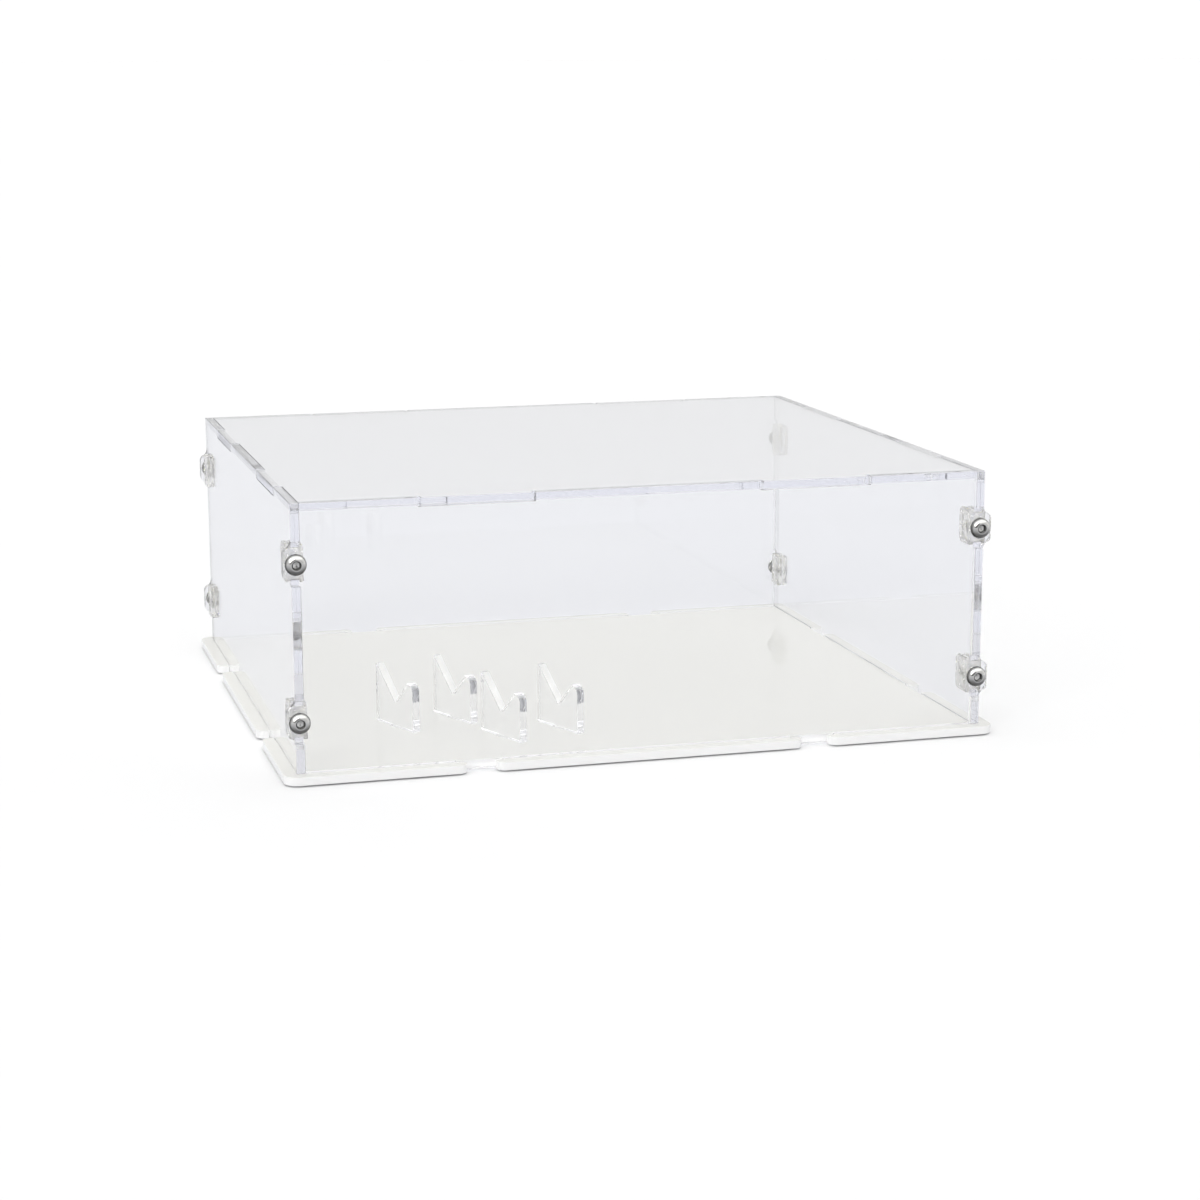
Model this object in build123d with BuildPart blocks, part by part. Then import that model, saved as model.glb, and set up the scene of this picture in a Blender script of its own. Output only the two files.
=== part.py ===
from build123d import *
from math import cos, radians, sin, tan
import os

# Model display case. A clear cover of laser-cut acrylic sheet stands on a larger white base plate
# and lifts straight off it. The cover's panels hook into each other with tabs and notches. At each
# upright corner two moulded clips saddle the side wall's edge, and a button-head screw draws the
# front or back panel's corner tab against each clip. Four clear stand plates with a V seat are
# pegged into the base plate and carry the model.
#
# All sizes are in millimetres. The origin is the middle of the base plate's underside, +Z is up,
# the front of the case faces -Y and its right-hand side +X.

# Sheet and case
SHEET = 3.0
BASE_THICKNESS = 3.0
CASE_WIDTH = 250.0
CASE_DEPTH = 220.0
WALL_HEIGHT = 93.0
BASE_MARGIN = 4.5
BASE_CORNER_RADIUS = 5.0

# Play between one sheet and the next, on each face, and the hairline between faces that press on
# each other: a wall's foot on the base plate, a clip on its sheets, a screw head on its tab
SHEET_PLAY = 0.1
PRESS_GAP = 0.05

# Top panel's tabs in the walls' open notches
TOP_TAB_LENGTH = 39.0
TOP_TAB_END_GAP = 1.0

# Foot tabs in the base plate's slots, and the open notch that shows each of them
FOOT_TAB_LENGTH = 16.6
FOOT_SLOT_END_PLAY = 0.2
FOOT_TAB_SHORT = 0.1
EDGE_NOTCH_LENGTH = 10.5
EDGE_NOTCH_MOUTH_RADIUS = 3.0

# Corner tabs of the front and back panels, which cross the side walls and stick out beyond them.
# Outside the wall each tab narrows to its tip along S-shaped shoulders.
CORNER_TAB_HEIGHT = 15.0
CORNER_TAB_TIP_HEIGHT = 6.5
CORNER_TAB_REACH = 2.85
SCREW_INSET = 17.7

# Moulded corner clip, H-shaped in plan: two cheeks on the wall's faces and a web between them
CLIP_CHEEK = 1.5
CLIP_HEIGHT = 13.0
CLIP_DEPTH = 9.8
CLIP_LIP = 1.0
CLIP_RADIUS = 2.2
CLIP_EDGE_CHAMFER = 0.4
CLIP_BORE_PLAY = 0.05

# Button-head screw with a hexagon socket
SCREW_DIAMETER = 4.0
SCREW_LENGTH = 10.0
SCREW_HOLE_PLAY = 0.15
HEAD_DIAMETER = 7.4
HEAD_HEIGHT = 2.2
HEAD_SHOULDER = 1.3
HEAD_SHOULDER_DIAMETER = 6.5
HEAD_FLAT_DIAMETER = 3.8
SOCKET_SIZE = 2.5
SOCKET_DEPTH = 1.3

# Stand plate, drawn from the bottom of its V seat
SEAT_HEIGHT = 9.0
SEAT_HALF_ANGLE = 43.0
STAND_REAR_HEIGHT = 21.4
STAND_FRONT_HEIGHT = 17.5
STAND_REAR_FLAT = 0.9
STAND_FRONT_FLAT = 3.8
STAND_NOSE_RADIUS = 3.2
STAND_TAB_LENGTH = 7.0
STAND_SLOT_END_PLAY = 0.1

# Places of the stand plates. The group turns its front ends to the right, and its middle is
# measured from the cover's left and front faces. Inside the group "across" runs over the plates'
# faces and "along" runs to their front ends.
STAND_TURN = 22.0
STAND_GROUP_FROM_LEFT = 74.4
STAND_GROUP_FROM_FRONT = 47.0
STAND_PAIR_ACROSS = 23.5
STAND_PAIR_ALONG = 2.5
STAND_ROW_ACROSS = 22.0
STAND_ROW_ALONG = 35.3

# Sizes that follow from the ones above
BASE_WIDTH = CASE_WIDTH + 2 * BASE_MARGIN
BASE_DEPTH = CASE_DEPTH + 2 * BASE_MARGIN
FOOT = BASE_THICKNESS + PRESS_GAP
CASE_TOP = FOOT + WALL_HEIGHT
PANEL_WIDTH = CASE_WIDTH - 2 * (SHEET + SHEET_PLAY)
PANEL_DEPTH = CASE_DEPTH - 2 * (SHEET + SHEET_PLAY)
TAB_X = (CASE_WIDTH - 2 * SHEET) / 4
TAB_Y = (CASE_DEPTH - 2 * SHEET) / 4
WALL_MIDDLE_X = (CASE_WIDTH - SHEET) / 2
WALL_MIDDLE_Y = (CASE_DEPTH - SHEET) / 2
TOP_NOTCH_LENGTH = TOP_TAB_LENGTH + 2 * TOP_TAB_END_GAP
FOOT_TAB_DROP = FOOT - FOOT_TAB_SHORT
SLOT_WIDTH = SHEET + 2 * SHEET_PLAY
SCREW_LEVELS = {"lower": FOOT + SCREW_INSET, "upper": CASE_TOP - SHEET - SCREW_INSET}
CLIP_FRONT = SHEET + PRESS_GAP
CLIP_WEB_HEIGHT = CLIP_HEIGHT - 2 * CLIP_LIP
CLIP_WEB_DEPTH = CLIP_DEPTH - CLIP_LIP
TOUCH = 0.001

ENDS = {"front": -1, "back": 1}
SIDES = {"left": -1, "right": 1}
CORNERS = [
    (f"{end_name}_{side_name}_{level}", side * WALL_MIDDLE_X, end, height)
    for end_name, end in ENDS.items()
    for side_name, side in SIDES.items()
    for level, height in SCREW_LEVELS.items()
]


def save(piece, name):
    """Labels a finished piece and writes it."""
    piece.part.label = name
    export_step(piece.part, f"parts/{name}.step")


def cut_top_notches(places):
    """Cuts the open notches for the top panel's tabs, at places along a wall's upper edge."""
    with Locations(*[(place, CASE_TOP) for place in places]):
        Rectangle(TOP_NOTCH_LENGTH, 2 * (SHEET + SHEET_PLAY), mode=Mode.SUBTRACT)


def add_foot_tabs(places):
    """Adds the tabs that drop into the base plate's slots, at places along a wall's lower edge."""
    with Locations(*[(place, FOOT) for place in places]):
        Rectangle(FOOT_TAB_LENGTH, FOOT_TAB_DROP, align=(Align.CENTER, Align.MAX))


def corner_places(reach):
    """Screw places on one sheet: at this reach to either side of its middle, at both levels."""
    return [(side * reach, level) for side in SIDES.values() for level in SCREW_LEVELS.values()]


def on_base_side(vertex):
    """Whether a corner of the base plate's outline lies on its left or right edge."""
    return abs(vertex.X) > BASE_WIDTH / 2 - TOUCH


def on_base_end(vertex):
    """Whether a corner of the base plate's outline lies on its front or back edge."""
    return abs(vertex.Y) > BASE_DEPTH / 2 - TOUCH


def stand_plane(row, side):
    """Plane of one stand plate on the base: x to its front end, y up, z across its thickness."""
    across = (row * STAND_ROW_ACROSS + side * STAND_PAIR_ACROSS) / 2
    along = (row * STAND_ROW_ALONG + side * STAND_PAIR_ALONG) / 2
    right = sin(radians(STAND_TURN))
    forward = cos(radians(STAND_TURN))
    x = STAND_GROUP_FROM_LEFT - CASE_WIDTH / 2 + across * forward + along * right
    y = STAND_GROUP_FROM_FRONT - CASE_DEPTH / 2 + across * right - along * forward
    return Plane(origin=(x, y, FOOT), x_dir=(right, -forward, 0), z_dir=(-forward, -right, 0))


STAND_PLANES = {
    "stand_back_left": stand_plane(-1, -1),
    "stand_back_right": stand_plane(-1, 1),
    "stand_front_left": stand_plane(1, -1),
    "stand_front_right": stand_plane(1, 1),
}

os.makedirs("parts", exist_ok=True)


# Base plate: rounded corners, an open notch before each foot tab, and slots for all tabs
with BuildPart() as base_plate:
    with BuildSketch() as base_outline:
        Rectangle(BASE_WIDTH, BASE_DEPTH)
        with Locations(*[(x, y) for x in (-TAB_X, TAB_X) for y in (-BASE_DEPTH / 2, BASE_DEPTH / 2)]):
            Rectangle(EDGE_NOTCH_LENGTH, 2 * BASE_MARGIN, mode=Mode.SUBTRACT)
        with Locations(*[(x, y) for x in (-BASE_WIDTH / 2, BASE_WIDTH / 2) for y in (-TAB_Y, TAB_Y)]):
            Rectangle(2 * BASE_MARGIN, EDGE_NOTCH_LENGTH, mode=Mode.SUBTRACT)
        notch_mouths = base_outline.vertices().filter_by(lambda v: on_base_side(v) != on_base_end(v))
        fillet(notch_mouths, min(EDGE_NOTCH_MOUTH_RADIUS, 0.9 * BASE_MARGIN))
        corners = base_outline.vertices().filter_by(lambda v: on_base_side(v) and on_base_end(v))
        fillet(corners, BASE_CORNER_RADIUS)
    extrude(amount=BASE_THICKNESS)

    with BuildSketch() as wall_slots:
        slot_length = FOOT_TAB_LENGTH + 2 * FOOT_SLOT_END_PLAY
        with GridLocations(2 * TAB_X, 2 * WALL_MIDDLE_Y, 2, 2):
            Rectangle(slot_length, SLOT_WIDTH)
        with GridLocations(2 * WALL_MIDDLE_X, 2 * TAB_Y, 2, 2):
            Rectangle(SLOT_WIDTH, slot_length)
    extrude(amount=BASE_THICKNESS, mode=Mode.SUBTRACT)

    for plane in STAND_PLANES.values():
        with BuildSketch(plane) as stand_slot:
            slot_length = STAND_TAB_LENGTH + 2 * STAND_SLOT_END_PLAY
            Rectangle(slot_length, FOOT, align=(Align.CENTER, Align.MAX))
        extrude(amount=SLOT_WIDTH / 2, both=True, mode=Mode.SUBTRACT)
save(base_plate, "base_plate")


# Side walls: full depth, notched in both upright edges for the corner tabs and the clips' webs
for name, side in SIDES.items():
    with BuildPart() as side_wall:
        with BuildSketch(Plane.YZ.offset(side * WALL_MIDDLE_X)):
            with Locations((0, FOOT)):
                Rectangle(CASE_DEPTH, WALL_HEIGHT, align=(Align.CENTER, Align.MIN))
            add_foot_tabs((-TAB_Y, TAB_Y))
            cut_top_notches((-TAB_Y, TAB_Y))
            with Locations(*corner_places(CASE_DEPTH / 2)):
                Rectangle(2 * (SHEET + SHEET_PLAY), CORNER_TAB_HEIGHT + 2 * SHEET_PLAY, mode=Mode.SUBTRACT)
                pocket_end = CLIP_FRONT + CLIP_WEB_DEPTH + SHEET_PLAY
                Rectangle(2 * pocket_end, CLIP_WEB_HEIGHT + 2 * SHEET_PLAY, mode=Mode.SUBTRACT)
        extrude(amount=SHEET / 2, both=True)
    save(side_wall, f"{name}_wall")


# Both corner tabs at one level, joined across the panel: outside the walls each shoulder is two equal
# arcs that start and end upright
tab_half = CORNER_TAB_HEIGHT / 2
tip_half = min(CORNER_TAB_TIP_HEIGHT, 0.9 * CORNER_TAB_HEIGHT) / 2
tab_root = CASE_WIDTH / 2
tab_tip = tab_root + CORNER_TAB_REACH
bend = ((tab_root + tab_tip) / 2, (tab_half + tip_half) / 2)
with BuildSketch() as corner_tabs:
    with BuildLine():
        swing = TangentArc((tab_root, tab_half), bend, tangent=(0, -1))
        TangentArc(bend, (tab_tip, tip_half), tangent=swing % 1)
        Line((tab_tip, tip_half), (tab_tip, 0))
        Line((0, tab_half), (tab_root, tab_half))
        mirror(about=Plane.XZ)
        mirror(about=Plane.YZ)
    make_face()


# Front and back panels: between the side walls, with a holed tab through each wall notch
for name, end in ENDS.items():
    with BuildPart() as cross_panel:
        with BuildSketch(Plane.XZ.offset(-end * WALL_MIDDLE_Y)):
            with Locations((0, FOOT)):
                Rectangle(PANEL_WIDTH, WALL_HEIGHT, align=(Align.CENTER, Align.MIN))
            add_foot_tabs((-TAB_X, TAB_X))
            cut_top_notches((-TAB_X, TAB_X))
            with Locations(*[(0, level) for level in SCREW_LEVELS.values()]):
                add(corner_tabs.sketch)
            with Locations(*corner_places(WALL_MIDDLE_X)):
                Circle(SCREW_DIAMETER / 2 + SCREW_HOLE_PLAY, mode=Mode.SUBTRACT)
        extrude(amount=SHEET / 2, both=True)
    save(cross_panel, f"{name}_panel")


# Top panel: level with the walls' upper edges, with two tabs out through each wall
with BuildPart() as top_panel:
    with BuildSketch(Plane.XY.offset(CASE_TOP - SHEET)):
        Rectangle(PANEL_WIDTH, PANEL_DEPTH)
        with Locations((-TAB_X, 0), (TAB_X, 0)):
            Rectangle(TOP_TAB_LENGTH, CASE_DEPTH)
        with Locations((0, -TAB_Y), (0, TAB_Y)):
            Rectangle(CASE_WIDTH, TOP_TAB_LENGTH)
    extrude(amount=SHEET)
save(top_panel, "top_panel")


# Corner clips: the cheeks lie on the wall's two faces, the web fills the pocket in its edge, and
# the bore takes the screw
for place, middle_x, end, height in CORNERS:
    seat = (middle_x, end * (CASE_DEPTH / 2 - CLIP_FRONT), height)
    with BuildPart() as clip:
        clip_plane = Plane(origin=seat, x_dir=(0, -end, 0), z_dir=(-end, 0, 0))
        with BuildSketch(clip_plane) as cheeks:
            Rectangle(CLIP_DEPTH, CLIP_HEIGHT, align=(Align.MIN, Align.CENTER))
        extrude(amount=SHEET / 2 + PRESS_GAP + CLIP_CHEEK, both=True)
        inner_corners = clip.edges().filter_by(Axis.X).group_by(Axis.Y)[-1 if end < 0 else 0]
        fillet(inner_corners, CLIP_RADIUS)
        cheek_edges = clip.faces().filter_by(Axis.X).edges()
        chamfer(cheek_edges, min(CLIP_EDGE_CHAMFER, 0.4 * CLIP_CHEEK))
        with BuildSketch(clip_plane) as channel:
            Rectangle(2 * CLIP_DEPTH, 2 * CLIP_HEIGHT)
            Rectangle(2 * CLIP_WEB_DEPTH, CLIP_WEB_HEIGHT, mode=Mode.SUBTRACT)
        extrude(amount=SHEET / 2 + PRESS_GAP, both=True, mode=Mode.SUBTRACT)
        with BuildSketch(Plane(origin=seat, x_dir=(1, 0, 0), z_dir=(0, -end, 0))) as bore:
            Circle(SCREW_DIAMETER / 2 + CLIP_BORE_PLAY)
        extrude(amount=CLIP_DEPTH, mode=Mode.SUBTRACT)
    save(clip, f"clip_{place}")


# Button-head screws: turned about the axis through the corner tab and the clip's bore
shank = SCREW_DIAMETER / 2
shoulder = (HEAD_SHOULDER_DIAMETER / 2, HEAD_SHOULDER)
flat = (HEAD_FLAT_DIAMETER / 2, HEAD_HEIGHT)
for place, middle_x, end, height in CORNERS:
    under_head = (middle_x, end * (CASE_DEPTH / 2 + PRESS_GAP), height)
    head_top = (middle_x, end * (CASE_DEPTH / 2 + PRESS_GAP + HEAD_HEIGHT), height)
    with BuildPart() as screw:
        with BuildSketch(Plane(origin=under_head, x_dir=(1, 0, 0), z_dir=(0, 0, end))) as half_profile:
            with BuildLine():
                Polyline(
                    (0, -SCREW_LENGTH),
                    (shank, -SCREW_LENGTH),
                    (shank, 0),
                    (HEAD_DIAMETER / 2, 0),
                    shoulder,
                    flat,
                    (0, HEAD_HEIGHT),
                    close=True,
                )
            make_face()
        revolve(axis=Axis(under_head, (0, end, 0)))
        with BuildSketch(Plane(origin=head_top, x_dir=(1, 0, 0), z_dir=(0, end, 0))) as socket:
            RegularPolygon(SOCKET_SIZE / 2, 6, major_radius=False)
        extrude(amount=-SOCKET_DEPTH, mode=Mode.SUBTRACT)
    save(screw, f"screw_{place}")


# Stand plates: a V seat between a tall rear arm and a low rounded front arm, on a tab
rear_arm = (STAND_REAR_HEIGHT - SEAT_HEIGHT) * tan(radians(SEAT_HALF_ANGLE))
front_arm = (STAND_FRONT_HEIGHT - SEAT_HEIGHT) * tan(radians(SEAT_HALF_ANGLE))
rear_end = -rear_arm - STAND_REAR_FLAT
front_end = front_arm + STAND_FRONT_FLAT
for name, plane in STAND_PLANES.items():
    with BuildPart() as stand:
        with BuildSketch(plane) as stand_outline:
            with BuildLine():
                Polyline(
                    (rear_end, 0),
                    (rear_end, STAND_REAR_HEIGHT),
                    (-rear_arm, STAND_REAR_HEIGHT),
                    (0, SEAT_HEIGHT),
                    (front_arm, STAND_FRONT_HEIGHT),
                    (front_end, STAND_FRONT_HEIGHT),
                    (front_end, 0),
                    close=True,
                )
            make_face()
            nose = stand_outline.vertices().filter_by(lambda v: v.X > front_arm + TOUCH and v.Y > TOUCH)
            fillet(nose, min(STAND_NOSE_RADIUS, 0.9 * STAND_FRONT_FLAT))
            Rectangle(STAND_TAB_LENGTH, FOOT_TAB_DROP, align=(Align.CENTER, Align.MAX))
        extrude(amount=SHEET / 2, both=True)
    save(stand, name)
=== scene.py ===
"""Model display case: a clear acrylic cover on a white base plate with four notched stand plates."""

import logging
import math
from collections.abc import Callable
from dataclasses import dataclass, field
from enum import Enum
from typing import ClassVar

import bmesh
import bpy
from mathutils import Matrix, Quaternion, Vector


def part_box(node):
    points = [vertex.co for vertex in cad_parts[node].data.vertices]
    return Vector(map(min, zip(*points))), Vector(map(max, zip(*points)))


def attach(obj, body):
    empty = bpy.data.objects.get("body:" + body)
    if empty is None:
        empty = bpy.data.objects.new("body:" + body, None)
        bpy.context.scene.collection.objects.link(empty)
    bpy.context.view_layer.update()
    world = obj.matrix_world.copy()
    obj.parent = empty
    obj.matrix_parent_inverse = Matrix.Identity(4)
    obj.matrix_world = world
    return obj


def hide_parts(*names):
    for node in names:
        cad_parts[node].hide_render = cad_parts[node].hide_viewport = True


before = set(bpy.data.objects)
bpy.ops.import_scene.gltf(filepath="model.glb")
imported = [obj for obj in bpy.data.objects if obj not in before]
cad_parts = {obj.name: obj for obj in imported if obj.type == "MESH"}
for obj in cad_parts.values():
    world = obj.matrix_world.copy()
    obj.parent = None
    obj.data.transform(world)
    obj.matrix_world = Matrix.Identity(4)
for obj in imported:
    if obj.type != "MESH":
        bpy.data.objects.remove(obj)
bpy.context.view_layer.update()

LOG = logging.getLogger("display_case")
MM = 0.001
TOUCH = 1e-6
DOUBLES = 2e-6
TURNED_RADIUS = "turned_radius"


class Slot(Enum):
    """Names for the finishes that the case is made in."""

    CLEAR_SHEET = "clear_sheet"
    CLEAR_STAND = "clear_stand"
    WHITE_SHEET = "white_sheet"
    CLIP_MOULDING = "clip_moulding"
    SCREW_STEEL = "screw_steel"


@dataclass(frozen=True)
class Finish:
    """What every finish has in common: a name and the ways to build up its material."""

    name: str
    blend_edge: ClassVar[tuple[float, float]] = (0.32, 0.68)

    def start(self) -> tuple[bpy.types.Material, bpy.types.Node]:
        """Makes an empty material with one shader.

        Returns:
            The material and its shader node.
        """
        material = bpy.data.materials.new(self.name)
        material.use_nodes = True
        shader = material.node_tree.nodes["Principled BSDF"]
        return material, shader

    @staticmethod
    def grain(material: bpy.types.Material, scale: float, detail: float = 2.0) -> bpy.types.NodeSocket:
        """Adds a soft noise on the piece's own coordinates.

        Args:
            material: The material that gets the noise.
            scale: How many times the noise repeats in a metre.
            detail: How many finer layers it has.

        Returns:
            The noise's value.
        """
        nodes, links = material.node_tree.nodes, material.node_tree.links
        place = nodes.new("ShaderNodeTexCoord")
        noise = nodes.new("ShaderNodeTexNoise")
        noise.inputs["Scale"].default_value = scale
        noise.inputs["Detail"].default_value = detail
        links.new(place.outputs["Object"], noise.inputs["Vector"])
        return noise.outputs["Fac"]

    @staticmethod
    def facing_up(material: bpy.types.Material) -> bpy.types.NodeSocket:
        """Gives how far the surface faces up, from -1 underneath to 1 on top.

        Args:
            material: The material that reads it.

        Returns:
            The value.
        """
        nodes, links = material.node_tree.nodes, material.node_tree.links
        place = nodes.new("ShaderNodeTexCoord")
        split = nodes.new("ShaderNodeSeparateXYZ")
        links.new(place.outputs["Normal"], split.inputs["Vector"])
        return split.outputs["Z"]

    @staticmethod
    def spread(material: bpy.types.Material, value: bpy.types.NodeSocket, low: float, high: float,
               target: bpy.types.NodeSocket, edge: tuple[float, float] = (0.0, 1.0)) -> None:
        """Maps a value onto a range and links the result to an input.

        Args:
            material: The material that holds both.
            value: The value to map.
            low: What the start of the edge becomes.
            high: What the end of the edge becomes.
            target: The input that takes the result.
            edge: Where the value's change starts and ends.
        """
        nodes, links = material.node_tree.nodes, material.node_tree.links
        ramp = nodes.new("ShaderNodeMapRange")
        ramp.inputs["From Min"].default_value = edge[0]
        ramp.inputs["From Max"].default_value = edge[1]
        ramp.inputs["To Min"].default_value = low
        ramp.inputs["To Max"].default_value = high
        links.new(value, ramp.inputs["Value"])
        links.new(ramp.outputs["Result"], target)

    @staticmethod
    def blend(material: bpy.types.Material, value: bpy.types.NodeSocket, low: tuple[float, float, float],
              high: tuple[float, float, float], target: bpy.types.NodeSocket) -> None:
        """Mixes two colours by a value.

        Args:
            material: The material that holds both.
            value: The value to mix by.
            low: The colour at 0.
            high: The colour at 1.
            target: The input that takes the result.
        """
        nodes, links = material.node_tree.nodes, material.node_tree.links
        ramp = nodes.new("ShaderNodeValToRGB")
        for element, position, colour in zip(ramp.color_ramp.elements, Finish.blend_edge, (low, high)):
            element.position = position
            element.color = (*colour, 1.0)
        links.new(value, ramp.inputs["Fac"])
        links.new(ramp.outputs["Color"], target)

    @staticmethod
    def ripple(material: bpy.types.Material, shader: bpy.types.Node, value: bpy.types.NodeSocket,
               depth: float) -> None:
        """Raises and lowers the surface's shading by a value.

        Args:
            material: The material that holds both.
            shader: The shader whose normal is changed.
            value: The height, from 0 to 1.
            depth: The height in metres that 1 stands for.
        """
        nodes, links = material.node_tree.nodes, material.node_tree.links
        bump = nodes.new("ShaderNodeBump")
        bump.inputs["Strength"].default_value = 1.0
        bump.inputs["Distance"].default_value = depth
        links.new(value, bump.inputs["Height"])
        links.new(bump.outputs["Normal"], shader.inputs["Normal"])


@dataclass(frozen=True)
class ClearSheet(Finish):
    """Clear cast acrylic sheet, faintly cool where light runs a long way inside it."""

    tint: tuple[float, float, float] = (0.995, 0.996, 1.0)
    ior: float = 1.49
    absorb_colour: tuple[float, float, float] = (0.78, 0.79, 0.90)
    absorb_density: float = 2.0
    grain_scale: float = 60.0
    roughness: tuple[float, float] = (0.0, 0.012)
    frosting: float = 0.0
    frost_roughness: tuple[float, float] = (0.004, 0.35)
    frost_slope: float = 0.70
    frost_edge: tuple[float, float] = (0.22, 0.12)

    def build(self) -> bpy.types.Material:
        """Makes the material.

        Returns:
            The finished material.
        """
        material, shader = self.start()
        shader.inputs["Base Color"].default_value = (*self.tint, 1.0)
        shader.inputs["Transmission Weight"].default_value = 1.0
        shader.inputs["IOR"].default_value = self.ior
        if self.frosting > 0.0:
            self.frost(material, shader)
        else:
            grain = self.grain(material, self.grain_scale)
            self.spread(material, grain, *self.roughness, shader.inputs["Roughness"])
        nodes, links = material.node_tree.nodes, material.node_tree.links
        depth = nodes.new("ShaderNodeVolumeAbsorption")
        depth.inputs["Color"].default_value = (*self.absorb_colour, 1.0)
        depth.inputs["Density"].default_value = self.absorb_density
        links.new(depth.outputs["Volume"], nodes["Material Output"].inputs["Volume"])
        return material

    def frost(self, material: bpy.types.Material, shader: bpy.types.Node) -> None:
        """Leaves the sloping cut edges as the saw left them, a little white.

        Args:
            material: The material.
            shader: Its shader.
        """
        nodes, links = material.node_tree.nodes, material.node_tree.links
        away = nodes.new("ShaderNodeMath")
        away.operation = "SUBTRACT"
        away.inputs[1].default_value = self.frost_slope
        links.new(self.facing_up(material), away.inputs[0])
        off = nodes.new("ShaderNodeMath")
        off.operation = "ABSOLUTE"
        links.new(away.outputs["Value"], off.inputs[0])
        off_slope = off.outputs["Value"]
        clearness = (1.0, 1.0 - self.frosting)
        self.spread(material, off_slope, *clearness, shader.inputs["Transmission Weight"], self.frost_edge)
        self.spread(material, off_slope, *self.frost_roughness, shader.inputs["Roughness"], self.frost_edge)


@dataclass(frozen=True)
class WhiteSheet(Finish):
    """Opaque white gloss acrylic sheet; its side and under faces are painted lighter than its top, as
    painted light.
    """

    colour: tuple[float, float, float] = (0.69, 0.687, 0.655)
    # painted light: the lighter colour that the side and under faces get
    painted_side_light: tuple[float, float, float] = (0.93, 0.928, 0.915)
    ior: float = 1.49
    grain_scale: float = 90.0
    roughness: tuple[float, float] = (0.008, 0.022)
    wave_scale: float = 25.0
    wave_depth: float = 0.00002

    def build(self) -> bpy.types.Material:
        """Makes the material.

        Returns:
            The finished material.
        """
        material, shader = self.start()
        shader.inputs["IOR"].default_value = self.ior
        up = self.facing_up(material)
        # painted light: faces that do not face up take the lighter colour, standing in for light falling on
        # the sides
        self.blend(material, up, self.painted_side_light, self.colour, shader.inputs["Base Color"])
        grain = self.grain(material, self.grain_scale)
        self.spread(material, grain, *self.roughness, shader.inputs["Roughness"])
        self.ripple(material, shader, self.grain(material, self.wave_scale), self.wave_depth)
        return material


@dataclass(frozen=True)
class ClipMoulding(Finish):
    """Cloudy, half see-through moulded plastic with a softly uneven surface."""

    dark: tuple[float, float, float] = (0.86, 0.855, 0.83)
    light: tuple[float, float, float] = (0.985, 0.98, 0.96)
    ior: float = 1.45
    clearness: float = 0.82
    scatter: float = 0.5
    scatter_radius: tuple[float, float, float] = (1.0, 1.0, 0.9)
    scatter_scale: float = 0.002
    cloud_scale: float = 750.0
    cloud_detail: float = 2.5
    roughness: tuple[float, float] = (0.14, 0.34)
    skin_scale: float = 380.0
    skin_detail: float = 1.5
    skin_depth: float = 0.00012

    def build(self) -> bpy.types.Material:
        """Makes the material.

        Returns:
            The finished material.
        """
        material, shader = self.start()
        shader.inputs["IOR"].default_value = self.ior
        shader.inputs["Transmission Weight"].default_value = self.clearness
        shader.inputs["Subsurface Weight"].default_value = self.scatter
        shader.inputs["Subsurface Radius"].default_value = self.scatter_radius
        shader.inputs["Subsurface Scale"].default_value = self.scatter_scale
        cloud = self.grain(material, self.cloud_scale, self.cloud_detail)
        self.blend(material, cloud, self.dark, self.light, shader.inputs["Base Color"])
        self.spread(material, cloud, *self.roughness, shader.inputs["Roughness"])
        skin = self.grain(material, self.skin_scale, self.skin_detail)
        self.ripple(material, shader, skin, self.skin_depth)
        return material


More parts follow.
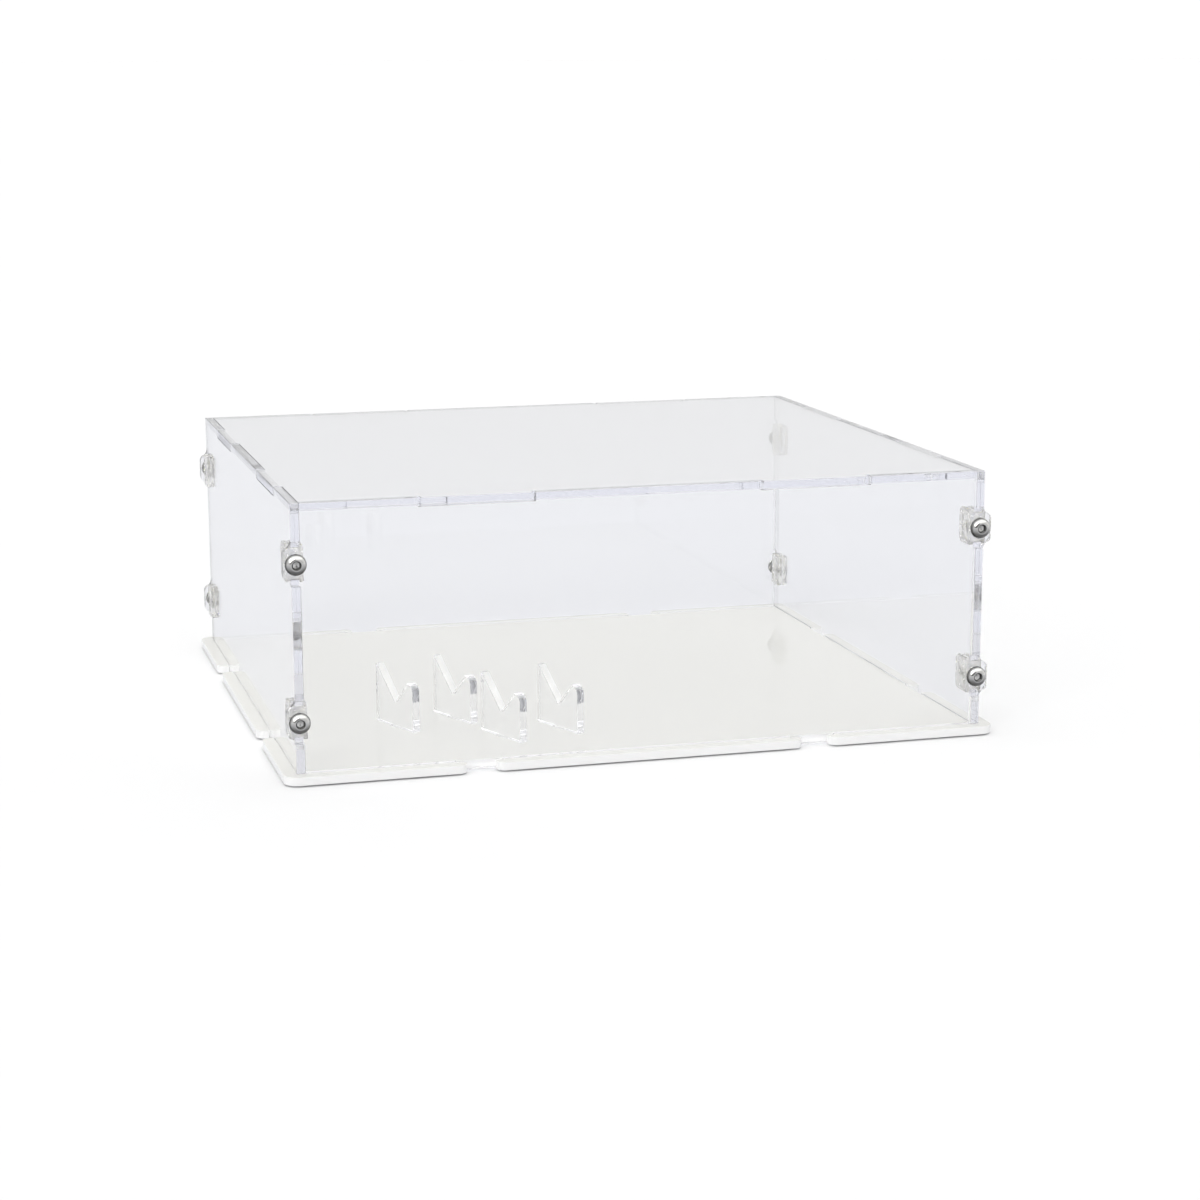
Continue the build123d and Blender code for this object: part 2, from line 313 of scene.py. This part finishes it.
@dataclass(frozen=True)
class ScrewSteel(Finish):
    """Polished steel, turned, with painted dark reflections in a ring round the socket's mouth and round the
    rim, a socket painted a little lighter as a reflection, and painted shade underneath.
    """

    body: float = 0.80
    # painted reflections: the dark and socket tones, placed by the rim and mouth-ring edges below; painted
    # shade: the darkening of faces that point down
    dark: float = 0.12
    socket: float = 0.85
    painted_rim_edge: tuple[float, float] = (0.82, 0.98)
    painted_mouth_ring: tuple[float, float, float, float] = (0.31, 0.36, 0.43, 0.48)
    painted_shade_edge: tuple[float, float] = (-0.40, 0.30)
    painted_under_shade: float = 0.16
    warmth: tuple[float, float, float] = (1.0, 0.995, 0.97)
    ring_scale: float = 34.0
    ring_detail: float = 2.0
    ring_depth: float = 0.000006
    roughness: tuple[float, float] = (0.03, 0.12)

    def build(self) -> bpy.types.Material:
        """Makes the material.

        Returns:
            The finished material.
        """
        material, shader = self.start()
        shader.inputs["Metallic"].default_value = 1.0
        nodes, links = material.node_tree.nodes, material.node_tree.links
        radius = nodes.new("ShaderNodeAttribute")
        radius.attribute_name = TURNED_RADIUS
        tone = nodes.new("ShaderNodeValToRGB")
        self.set_tones(tone.color_ramp)
        links.new(radius.outputs["Fac"], tone.inputs["Fac"])
        shaded = nodes.new("ShaderNodeVectorMath")
        shaded.operation = "SCALE"
        links.new(tone.outputs["Color"], shaded.inputs[0])
        up = self.facing_up(material)
        # painted shade: faces that point down are darkened towards the under shade
        self.spread(material, up, self.painted_under_shade, 1.0, shaded.inputs["Scale"], self.painted_shade_edge)
        links.new(shaded.outputs["Vector"], shader.inputs["Base Color"])
        rings = nodes.new("ShaderNodeTexNoise")
        rings.noise_dimensions = "1D"
        rings.inputs["Scale"].default_value = self.ring_scale
        rings.inputs["Detail"].default_value = self.ring_detail
        links.new(radius.outputs["Fac"], rings.inputs["W"])
        self.spread(material, rings.outputs["Fac"], *self.roughness, shader.inputs["Roughness"])
        self.ripple(material, shader, rings.outputs["Fac"], self.ring_depth)
        return material

    def set_tones(self, ramp: bpy.types.ColorRamp) -> None:
        """Sets the steel's tones from the middle of the head to its rim: a socket painted lighter as a
        reflection, painted dark reflections in a ring at the socket's mouth and at the rim, and plain steel
        between.

        Args:
            ramp: The ramp that holds them.
        """
        mouth_in, ring_start, ring_end, mouth_out = self.painted_mouth_ring
        rim_in, rim_out = self.painted_rim_edge
        tones = {mouth_in: self.socket, ring_start: self.dark, ring_end: self.dark, mouth_out: self.body,
                 rim_in: self.body, rim_out: self.dark}
        while len(ramp.elements) < len(tones):
            ramp.elements.new(0.5)
        for element, (position, shade) in zip(ramp.elements, tones.items()):
            element.position = position
            element.color = (*(shade * part for part in self.warmth), 1.0)


def at(axis: str, place: float) -> Callable[[list[Vector]], bool]:
    """Makes a test for edges and faces that lie at one place along an axis.

    Args:
        axis: The axis, x, y or z.
        place: The place, in metres.

    Returns:
        The test, which takes the corners.
    """
    return lambda corners: all(abs(getattr(corner, axis) - place) < TOUCH for corner in corners)


def level_at(axis: str, place: float) -> Callable[[list[Vector]], bool]:
    """Makes a test for level edges that lie at one place along an axis.

    Args:
        axis: The axis, x or y.
        place: The place, in metres.

    Returns:
        The test, which takes the edge's ends.
    """
    lies_there = at(axis, place)
    return lambda ends: lies_there(ends) and abs(ends[0].z - ends[1].z) < TOUCH


class Bench:
    """The hand tools that new pieces are shaped with."""

    @staticmethod
    def clear() -> None:
        """Lets go of everything that is selected."""
        if bpy.context.mode != "OBJECT":
            bpy.ops.object.mode_set(mode="OBJECT")
        bpy.ops.object.select_all(action="DESELECT")

    @staticmethod
    def take(piece: bpy.types.Object) -> None:
        """Selects one piece and makes it active.

        Args:
            piece: The piece.
        """
        Bench.clear()
        piece.select_set(True)
        bpy.context.view_layer.objects.active = piece

    @staticmethod
    def settle(name: str) -> bpy.types.Object:
        """Names the piece just added and moves its place into its mesh.

        Args:
            name: The piece's name.

        Returns:
            The piece.
        """
        piece = bpy.context.object
        piece.name = name
        bpy.ops.object.transform_apply(location=True, rotation=True, scale=True)
        return piece

    @staticmethod
    def block(name: str, low: tuple[float, float, float],
              high: tuple[float, float, float]) -> bpy.types.Object:
        """Adds a block between two corners.

        Args:
            name: The block's name.
            low: Its lowest corner, in millimetres.
            high: Its highest corner, in millimetres.

        Returns:
            The block.
        """
        Bench.clear()
        middle = [(a + b) / 2 * MM for a, b in zip(low, high)]
        size = [(b - a) * MM for a, b in zip(low, high)]
        bpy.ops.mesh.primitive_cube_add(size=1.0, location=middle, scale=size)
        return Bench.settle(name)

    @staticmethod
    def rod(name: str, radius: float, start: float, end: float, sides: int,
            end_radius: float | None = None) -> bpy.types.Object:
        """Adds a rod, prism or cone along Y.

        Args:
            name: The rod's name.
            radius: Its radius at the start, in millimetres.
            start: Where it starts along Y, in millimetres.
            end: Where it ends along Y, in millimetres.
            sides: How many sides it has.
            end_radius: Its radius at the end, where that differs.

        Returns:
            The rod.
        """
        Bench.clear()
        far_radius = radius if end_radius is None else end_radius
        bpy.ops.mesh.primitive_cone_add(
            vertices=sides, radius1=radius * MM, radius2=far_radius * MM, depth=(end - start) * MM,
            location=(0.0, (start + end) / 2 * MM, 0.0), rotation=(-math.pi / 2, 0.0, 0.0))
        return Bench.settle(name)

    @staticmethod
    def pick(piece: bpy.types.Object, kind: str, test: Callable[[list[Vector]], bool]) -> None:
        """Selects a piece's edges or faces by where their corners lie.

        Args:
            piece: The piece, which is left in edit mode.
            kind: EDGE or FACE.
            test: Says whether an edge or face is taken, from its corners.
        """
        Bench.take(piece)
        bpy.ops.object.mode_set(mode="EDIT")
        bpy.ops.mesh.select_mode(type=kind)
        bpy.ops.mesh.select_all(action="DESELECT")
        mesh = bmesh.from_edit_mesh(piece.data)
        for item in mesh.edges if kind == "EDGE" else mesh.faces:
            item.select_set(test([corner.co for corner in item.verts]))
        mesh.select_flush_mode()
        bmesh.update_edit_mesh(piece.data)

    @staticmethod
    def round_over(piece: bpy.types.Object, radius: float, steps: int,
                   test: Callable[[list[Vector]], bool]) -> None:
        """Rounds some of a piece's edges.

        Args:
            piece: The piece.
            radius: The rounding's radius, in millimetres.
            steps: How many facets it has.
            test: Says which edges are taken.
        """
        Bench.pick(piece, "EDGE", test)
        bpy.ops.mesh.bevel(offset=radius * MM, segments=steps, affect="EDGES")
        bpy.ops.object.mode_set(mode="OBJECT")

    @staticmethod
    def finish_with(piece: bpy.types.Object, kind: str, **settings: object) -> None:
        """Adds a modifier and applies it.

        Args:
            piece: The piece.
            kind: The modifier's kind.
            settings: The modifier's settings.
        """
        Bench.take(piece)
        modifier = piece.modifiers.new(kind.lower(), kind)
        for key, value in settings.items():
            setattr(modifier, key, value)
        bpy.ops.object.modifier_apply(modifier=modifier.name)

    @staticmethod
    def combine(piece: bpy.types.Object, other: bpy.types.Object, how: str) -> None:
        """Joins another shape to a piece, or cuts it out, and clears the other away.

        Args:
            piece: The piece.
            other: The other shape.
            how: UNION or DIFFERENCE.
        """
        Bench.finish_with(piece, "BOOLEAN", operation=how, object=other, solver="EXACT")
        bpy.data.objects.remove(other)

    @staticmethod
    def close_up(piece: bpy.types.Object, angle: float) -> None:
        """Merges a piece's doubles, turns its faces outwards and shades its soft edges smoothly.

        Args:
            piece: The piece.
            angle: The sharpest edge that is shaded smoothly, in degrees.
        """
        Bench.take(piece)
        bpy.ops.object.mode_set(mode="EDIT")
        bpy.ops.mesh.select_all(action="SELECT")
        bpy.ops.mesh.remove_doubles(threshold=DOUBLES)
        bpy.ops.mesh.normals_make_consistent(inside=False)
        bpy.ops.object.mode_set(mode="OBJECT")
        bpy.ops.object.shade_smooth_by_angle(angle=math.radians(angle))

    @staticmethod
    def place(model: bpy.types.Object, name: str, node: str) -> bpy.types.Object:
        """Copies a corner fitting to where a node of the frame is.

        Args:
            model: The fitting, with its outer end at the origin and its depth along +Y.
            name: The copy's name.
            node: The node that the copy stands for.

        Returns:
            The copy.
        """
        low, high = (Vector(corner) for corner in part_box(node))
        at_back = (low.y + high.y) > 0.0
        Bench.take(model)
        bpy.ops.object.duplicate()
        copy = bpy.context.object
        copy.rotation_euler = (0.0, 0.0, math.pi if at_back else 0.0)
        copy.location = ((low.x + high.x) / 2, high.y if at_back else low.y, (low.z + high.z) / 2)
        return Bench.settle(name)


@dataclass
class CornerClip:
    """The moulded clip that saddles a wall's upright edge, made once and copied. Sizes in millimetres."""

    depth: float = 9.8
    height: float = 13.0
    cheek: float = 1.5
    half_gap: float = 1.55
    web_depth: float = 8.8
    web_height: float = 10.5
    rear_radius: float = 2.2
    rear_steps: int = 7
    front_radius: float = 0.8
    rim_radius: float = 0.5
    corner_steps: int = 4
    dish_border: tuple[float, float] = (0.80, 0.85)
    dish_slope: tuple[float, float] = (0.90, 0.93)
    dish_depth: float = 0.22
    bore_radius: float = 2.05
    bore_depth: float = 7.8
    bore_sides: int = 48
    overcut: float = 1.0
    seat_radius: float = 0.2
    seat_steps: int = 2
    cheek_smooth: float = 40.0
    clip_smooth: float = 38.0

    def model(self) -> bpy.types.Object:
        """Shapes the clip with its outer end at the origin.

        Returns:
            The clip.
        """
        outer = self.half_gap + self.cheek
        clip = Bench.block("clip", (self.half_gap, 0.0, -self.height / 2),
                           (outer, self.depth, self.height / 2))
        seat, face, rear = self.half_gap * MM, outer * MM, self.depth * MM
        Bench.round_over(clip, self.rear_radius, self.rear_steps, level_at("y", rear))
        Bench.round_over(clip, self.front_radius, self.corner_steps, level_at("y", 0.0))
        Bench.round_over(clip, self.rim_radius, self.corner_steps, at("x", face))
        Bench.pick(clip, "FACE", at("x", face))
        for shrink, drop in ((self.dish_border, 0.0), (self.dish_slope, self.dish_depth)):
            bpy.ops.mesh.extrude_region_move(TRANSFORM_OT_translate={"value": (-drop * MM, 0.0, 0.0)})
            bpy.ops.transform.resize(value=(1.0, *shrink), center_override=(face, rear / 2, 0.0))
        bpy.ops.object.mode_set(mode="OBJECT")
        Bench.round_over(clip, self.seat_radius, self.seat_steps, at("x", seat))
        Bench.finish_with(clip, "MIRROR", use_axis=(True, False, False), use_mirror_merge=False)
        Bench.close_up(clip, self.cheek_smooth)
        web_side = self.half_gap + 2 * self.seat_radius
        web = Bench.block("clip_web", (-web_side, 0.0, -self.web_height / 2),
                          (web_side, self.web_depth, self.web_height / 2))
        Bench.combine(clip, web, "UNION")
        bore = Bench.rod("clip_bore", self.bore_radius, -self.overcut, self.bore_depth, self.bore_sides)
        Bench.combine(clip, bore, "DIFFERENCE")
        Bench.close_up(clip, self.clip_smooth)
        return clip


@dataclass
class ButtonScrew:
    """The button-head screw with a hexagon socket and a thread. Sizes in millimetres."""

    under_head: float = 2.2
    profile: tuple[tuple[float, float], ...] = (
        (2.2, 3.56), (2.08, 3.7), (1.82, 3.7), (1.5, 3.64), (1.15, 3.49), (0.82, 3.26), (0.52, 2.95),
        (0.28, 2.59), (0.1, 2.21), (0.02, 1.98), (0.0, 1.86))
    socket_flats: float = 2.5
    socket_depth: float = 1.35
    drill_ledge: float = 0.12
    drill_slope: float = 0.95
    drill_depth: float = 0.45
    mouth_radius: float = 1.62
    mouth_depth: float = 0.3
    overcut: float = 1.0
    sides: int = 72
    smooth: float = 32.0
    shank_end: float = 12.2
    core_radius: float = 1.62
    core_sink: float = 0.1
    core_sides: int = 48
    tip_radius: float = 0.3
    tip_steps: int = 2
    crest: float = 0.35
    crest_sides: int = 3
    crest_lift: float = 0.03
    thread_start: float = 0.55
    thread_steps: int = 24
    thread_smooth: float = 30.0
    pitch: float = 0.7
    turns: int = 13
    plain_mark: float = 0.6
    crown_margin: float = 0.01

    def model(self) -> bpy.types.Object:
        """Shapes the screw with the top of its head at the origin.

        Returns:
            The screw.
        """
        screw = self.head()
        across = self.socket_flats / math.sqrt(3.0)
        socket = Bench.rod("socket", across, -self.overcut, self.socket_depth, 6)
        Bench.combine(screw, socket, "DIFFERENCE")
        mouth = Bench.rod("mouth", self.mouth_radius + self.mouth_depth, -self.mouth_depth, self.mouth_depth,
                          self.sides, self.mouth_radius - self.mouth_depth)
        Bench.combine(screw, mouth, "DIFFERENCE")
        Bench.pick(screw, "FACE", at("y", self.socket_depth * MM))
        bpy.ops.mesh.inset(thickness=self.drill_ledge * MM)
        bpy.ops.mesh.inset(thickness=self.drill_slope * MM)
        bpy.ops.transform.translate(value=(0.0, self.drill_depth * MM, 0.0))
        Bench.combine(screw, self.shank(), "UNION")
        Bench.close_up(screw, self.smooth)
        self.mark_radius(screw)
        return screw

    def head(self) -> bpy.types.Object:
        """Draws the head up from a disc in steps, like a dome on a lathe.

        Returns:
            The head.
        """
        Bench.clear()
        height, radius = self.profile[0]
        bpy.ops.mesh.primitive_circle_add(
            vertices=self.sides, radius=radius * MM, fill_type="NGON", location=(0.0, height * MM, 0.0),
            rotation=(math.pi / 2, 0.0, 0.0))
        head = Bench.settle("screw")
        bpy.ops.object.mode_set(mode="EDIT")
        bpy.ops.mesh.select_mode(type="FACE")
        bpy.ops.mesh.select_all(action="SELECT")
        for next_height, next_radius in self.profile[1:]:
            step = (0.0, (next_height - height) * MM, 0.0)
            bpy.ops.mesh.extrude_region_move(TRANSFORM_OT_translate={"value": step})
            ratio = next_radius / radius
            bpy.ops.transform.resize(value=(ratio, 1.0, ratio),
                                     center_override=(0.0, next_height * MM, 0.0))
            height, radius = next_height, next_radius
        bpy.ops.object.mode_set(mode="OBJECT")
        Bench.close_up(head, self.smooth)
        return head

    def shank(self) -> bpy.types.Object:
        """Winds a thread round a core.

        Returns:
            The threaded shank.
        """
        Bench.clear()
        place = ((self.core_radius + self.crest_lift) * MM, (self.under_head + self.thread_start) * MM, 0.0)
        bpy.ops.mesh.primitive_circle_add(vertices=self.crest_sides, radius=self.crest * MM, location=place,
                                          rotation=(0.0, 0.0, -math.pi / 2))
        thread = Bench.settle("thread")
        Bench.finish_with(thread, "SCREW", axis="Y", screw_offset=self.pitch * MM, iterations=self.turns,
                          steps=self.thread_steps, render_steps=self.thread_steps)
        bpy.ops.object.mode_set(mode="EDIT")
        bpy.ops.mesh.select_all(action="SELECT")
        bpy.ops.mesh.fill_holes(sides=self.crest_sides)
        bpy.ops.object.mode_set(mode="OBJECT")
        Bench.close_up(thread, self.thread_smooth)
        core = Bench.rod("core", self.core_radius, self.under_head - self.core_sink, self.shank_end,
                         self.core_sides)
        Bench.round_over(core, self.tip_radius, self.tip_steps, at("y", self.shank_end * MM))
        Bench.combine(core, thread, "UNION")
        return core

    def mark_radius(self, screw: bpy.types.Object) -> None:
        """Notes each point's distance from the screw's axis, as a share of the head's radius.

        What lies under the head gets one mark, so that it is plain steel.

        Args:
            screw: The screw.
        """
        rim_height, rim_radius = self.profile[1]
        full, crown = rim_radius * MM, (rim_height + self.crown_margin) * MM
        marks = screw.data.attributes.new(TURNED_RADIUS, "FLOAT", "POINT")
        for point, mark in zip(screw.data.vertices, marks.data):
            reach = math.hypot(point.co.x, point.co.z) / full
            mark.value = self.plain_mark if point.co.y > crown else reach


@dataclass(frozen=True)
class CutSheet:
    """A sheet cut to shape, with its sharp arrises just broken. Sizes in millimetres."""

    node: str
    body: str
    slot: Slot
    arris: float = 0.16
    steps: int = 2
    sharp: float = 50.0
    flat: float = 0.5

    def build(self, material: bpy.types.Material) -> bpy.types.Object:
        """Copies the sheet's node, breaks its arrises and lets the copy stand for it.

        Args:
            material: Its finish.

        Returns:
            The sheet.
        """
        Bench.clear()
        sheet = bpy.data.objects.new(f"cut_{self.node}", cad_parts[self.node].data.copy())
        bpy.context.scene.collection.objects.link(sheet)
        Bench.take(sheet)
        bpy.ops.object.mode_set(mode="EDIT")
        bpy.ops.mesh.select_all(action="SELECT")
        bpy.ops.mesh.remove_doubles(threshold=DOUBLES)
        bpy.ops.mesh.dissolve_limited(angle_limit=math.radians(self.flat))
        bpy.ops.object.mode_set(mode="OBJECT")
        Bench.finish_with(sheet, "BEVEL", width=self.arris * MM, segments=self.steps, limit_method="ANGLE",
                          angle_limit=math.radians(self.sharp), use_clamp_overlap=True)
        bpy.ops.object.shade_flat()
        sheet.data.materials.clear()
        sheet.data.materials.append(material)
        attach(sheet, self.body)
        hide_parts(self.node)
        LOG.info("cut %s", sheet.name)
        return sheet


@dataclass
class BasePlate:
    """The white plate that everything stands on."""

    finish: WhiteSheet = field(default_factory=lambda: WhiteSheet("white_gloss_sheet"))

    def build(self) -> None:
        """Cuts the plate."""
        CutSheet("base_plate", "base", Slot.WHITE_SHEET).build(self.finish.build())


@dataclass
class Cover:
    """The clear cover: five sheets, with a clip and a screw at eight places."""

    sheet: ClearSheet = field(default_factory=lambda: ClearSheet("clear_cover_sheet"))
    clip: ClipMoulding = field(default_factory=lambda: ClipMoulding("cloudy_clip"))
    screw: ScrewSteel = field(default_factory=lambda: ScrewSteel("screw_steel"))
    sheets: tuple[str, ...] = ("top_panel", "front_panel", "back_panel", "left_wall", "right_wall")
    body: str = "cover"

    def build(self) -> None:
        """Cuts the sheets, and puts a clip and a screw at each corner."""
        sheet = self.sheet.build()
        for name in self.sheets:
            CutSheet(name, self.body, Slot.CLEAR_SHEET).build(sheet)
        self.fit("clip_", CornerClip().model(), self.clip.build())
        self.fit("screw_", ButtonScrew().model(), self.screw.build())

    def fit(self, prefix: str, model: bpy.types.Object, material: bpy.types.Material) -> None:
        """Copies a fitting to each of its nodes, which it replaces.

        Args:
            prefix: How the nodes' names start.
            model: The fitting.
            material: Its finish.
        """
        model.data.materials.append(material)
        for node in sorted(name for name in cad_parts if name.startswith(prefix)):
            piece = Bench.place(model, f"fitted_{node}", node)
            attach(piece, self.body)
            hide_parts(node)
            LOG.info("fitted %s", piece.name)
        bpy.data.objects.remove(model)


@dataclass
class StandPlates:
    """The four notched plates that carry the model."""

    sheet: ClearSheet = field(default_factory=lambda: ClearSheet("clear_stand_sheet", frosting=0.16))

    def build(self) -> None:
        """Cuts the plates, each of which is a body of its own."""
        material = self.sheet.build()
        for name in sorted(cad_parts):
            if name.startswith("stand_"):
                CutSheet(name, name, Slot.CLEAR_STAND).build(material)


@dataclass
class Studio:
    """Pale floor, soft light and the camera at the photograph's place."""

    floor_size: float = 200.0
    floor_gap: float = 0.0006
    floor_step: float = 0.0005
    floor_shade: tuple[float, float, float] = (0.79, 0.79, 0.79)
    mirrored_shade: tuple[float, float, float] = (0.675, 0.68, 0.70)
    floor_roughness: float = 0.9
    side_edge: tuple[float, float] = (-0.7, 0.0)
    dim_side: float = 0.64
    bright_side: float = 0.82
    dome_edge: tuple[float, float] = (0.40, 0.62)
    dome_light: float = 1.30
    horizon_edge: tuple[float, float] = (0.02, 0.05)
    horizon_light: float = 1.05
    softbox_at: tuple[float, float, float] = (-0.50, -0.75, 0.55)
    softbox_edge: tuple[float, float] = (0.92, 0.955)
    softbox_light: float = 3.0
    dim_patch_edge: tuple[float, float] = (0.86, 0.96)
    dim_patch: float = 0.2
    backdrop_light: float = 1.05
    camera_at: tuple[float, float, float] = (-0.25714, -0.96896, 0.24249)
    camera_turn: float = -15.558
    camera_height: float = 11.738
    camera_roll: float = -0.151
    focal_pixels: float = 2632.35
    image_pixels: float = 1200.0
    sensor: float = 36.0
    sight: tuple[float, float] = (0.01, 100.0)
    bounces: int = 64

    def build(self) -> None:
        """Sets up the floor, the light and the camera."""
        self.colours()
        self.floor()
        self.light()
        self.camera()

    def colours(self) -> None:
        """Shows light as it is, without a film curve, and lets light cross many sheets."""
        scene = bpy.context.scene
        scene.view_settings.view_transform = "Standard"
        scene.cycles.max_bounces = self.bounces
        scene.cycles.transmission_bounces = self.bounces
        scene.cycles.glossy_bounces = self.bounces
        scene.cycles.blur_glossy = 0.0

    def floor(self) -> None:
        """Lays the floor: one to be seen directly, and a greyer one for the sheets to show and mirror."""
        seen = self.plane("floor", self.floor_gap, self.floor_shade)
        seen.visible_diffuse = False
        seen.visible_glossy = False
        seen.visible_transmission = False
        seen.visible_shadow = False
        mirrored = self.plane("floor_in_sheets", self.floor_gap + self.floor_step, self.mirrored_shade)
        mirrored.visible_camera = False

    def plane(self, name: str, drop: float, shade: tuple[float, float, float]) -> bpy.types.Object:
        """Adds a large matt plane under the case.

        Args:
            name: The plane's name.
            drop: How far it lies under the base plate.
            shade: Its colour.

        Returns:
            The plane.
        """
        bpy.ops.object.select_all(action="DESELECT")
        bpy.ops.mesh.primitive_plane_add(size=self.floor_size, location=(0.0, 0.0, -drop))
        plane = bpy.context.object
        plane.name = name
        material = bpy.data.materials.new(name)
        material.use_nodes = True
        shader = material.node_tree.nodes["Principled BSDF"]
        shader.inputs["Base Color"].default_value = (*shade, 1.0)
        shader.inputs["Roughness"].default_value = self.floor_roughness
        shader.inputs["Specular IOR Level"].default_value = 0.0
        plane.data.materials.append(material)
        return plane

    def light(self) -> None:
        """Fills the room with soft light: dim in front, dimmest round the camera, and a softbox overhead.

        Seen directly, past the floor's end, the room is a plain white backdrop.
        """
        world = bpy.data.worlds.new("soft_room")
        bpy.context.scene.world = world
        world.use_nodes = True
        nodes, links = world.node_tree.nodes, world.node_tree.links
        place = nodes.new("ShaderNodeTexCoord")
        split = nodes.new("ShaderNodeSeparateXYZ")
        links.new(place.outputs["Generated"], split.inputs["Vector"])
        toward = nodes.new("ShaderNodeVectorMath")
        toward.operation = "DOT_PRODUCT"
        toward.inputs[1].default_value = Vector(self.softbox_at).normalized()
        links.new(place.outputs["Generated"], toward.inputs[0])
        low = self.fade(world, split.outputs["Y"], self.side_edge, (self.dim_side, self.bright_side))
        high = self.fade(world, split.outputs["Z"], self.dome_edge, (0.0, 1.0))
        softbox = self.fade(world, toward.outputs["Value"], self.softbox_edge, (0.0, self.softbox_light))
        dome = nodes.new("ShaderNodeMix")
        dome.inputs["B"].default_value = self.dome_light
        links.new(high, dome.inputs["Factor"])
        links.new(low, dome.inputs["A"])
        band = nodes.new("ShaderNodeMix")
        band.inputs["B"].default_value = self.horizon_light
        links.new(self.fade(world, split.outputs["Z"], self.horizon_edge, (1.0, 0.0)), band.inputs["Factor"])
        links.new(dome.outputs["Result"], band.inputs["A"])
        total = nodes.new("ShaderNodeMath")
        total.operation = "ADD"
        links.new(band.outputs["Result"], total.inputs[0])
        links.new(softbox, total.inputs[1])
        patch = nodes.new("ShaderNodeVectorMath")
        patch.operation = "DOT_PRODUCT"
        patch.inputs[1].default_value = self.toward_camera()
        links.new(place.outputs["Generated"], patch.inputs[0])
        dimmed = nodes.new("ShaderNodeMath")
        dimmed.operation = "MULTIPLY"
        links.new(total.outputs["Value"], dimmed.inputs[0])
        links.new(self.fade(world, patch.outputs["Value"], self.dim_patch_edge, (1.0, self.dim_patch)),
                  dimmed.inputs[1])
        backdrop = nodes.new("ShaderNodeMix")
        backdrop.inputs["B"].default_value = self.backdrop_light
        links.new(nodes.new("ShaderNodeLightPath").outputs["Is Camera Ray"], backdrop.inputs["Factor"])
        links.new(dimmed.outputs["Value"], backdrop.inputs["A"])
        links.new(backdrop.outputs["Result"], nodes["Background"].inputs["Strength"])
        nodes["Background"].inputs["Color"].default_value = (1.0, 1.0, 1.0, 1.0)

    @staticmethod
    def fade(world: bpy.types.World, value: bpy.types.NodeSocket, edge: tuple[float, float],
             light: tuple[float, float]) -> bpy.types.NodeSocket:
        """Fades the room's light from one level to another.

        Args:
            world: The room.
            value: What the fade follows.
            edge: Where the fade starts and ends.
            light: The light before and after it.

        Returns:
            The light.
        """
        nodes, links = world.node_tree.nodes, world.node_tree.links
        ramp = nodes.new("ShaderNodeMapRange")
        ramp.interpolation_type = "SMOOTHSTEP"
        ramp.inputs["From Min"].default_value = edge[0]
        ramp.inputs["From Max"].default_value = edge[1]
        ramp.inputs["To Min"].default_value = light[0]
        ramp.inputs["To Max"].default_value = light[1]
        links.new(value, ramp.inputs["Value"])
        return ramp.outputs["Result"]

    def toward_camera(self) -> Vector:
        """Gives the direction from the case to the camera."""
        turn, height = math.radians(self.camera_turn), math.radians(self.camera_height)
        level = math.cos(height)
        return Vector((math.sin(turn) * level, -math.cos(turn) * level, math.sin(height)))

    def camera(self) -> None:
        """Puts the camera where the photograph was taken from."""
        lens = bpy.data.cameras.new("camera")
        lens.sensor_width = self.sensor
        lens.lens = self.focal_pixels / self.image_pixels * self.sensor
        lens.clip_start, lens.clip_end = self.sight
        camera = bpy.data.objects.new("camera", lens)
        bpy.context.scene.collection.objects.link(camera)
        camera.location = self.camera_at
        camera.rotation_mode = "QUATERNION"
        aim = (-self.toward_camera()).to_track_quat("-Z", "Y")
        camera.rotation_quaternion = aim @ Quaternion((0.0, 0.0, 1.0), math.radians(self.camera_roll))
        bpy.context.scene.camera = camera


def main() -> None:
    """Builds the case and the studio round it."""
    logging.basicConfig(level=logging.INFO, format="%(message)s")
    for part in (BasePlate(), Cover(), StandPlates(), Studio()):
        part.build()
        LOG.info("built %s", type(part).__name__)


if __name__ == "__main__":
    main()
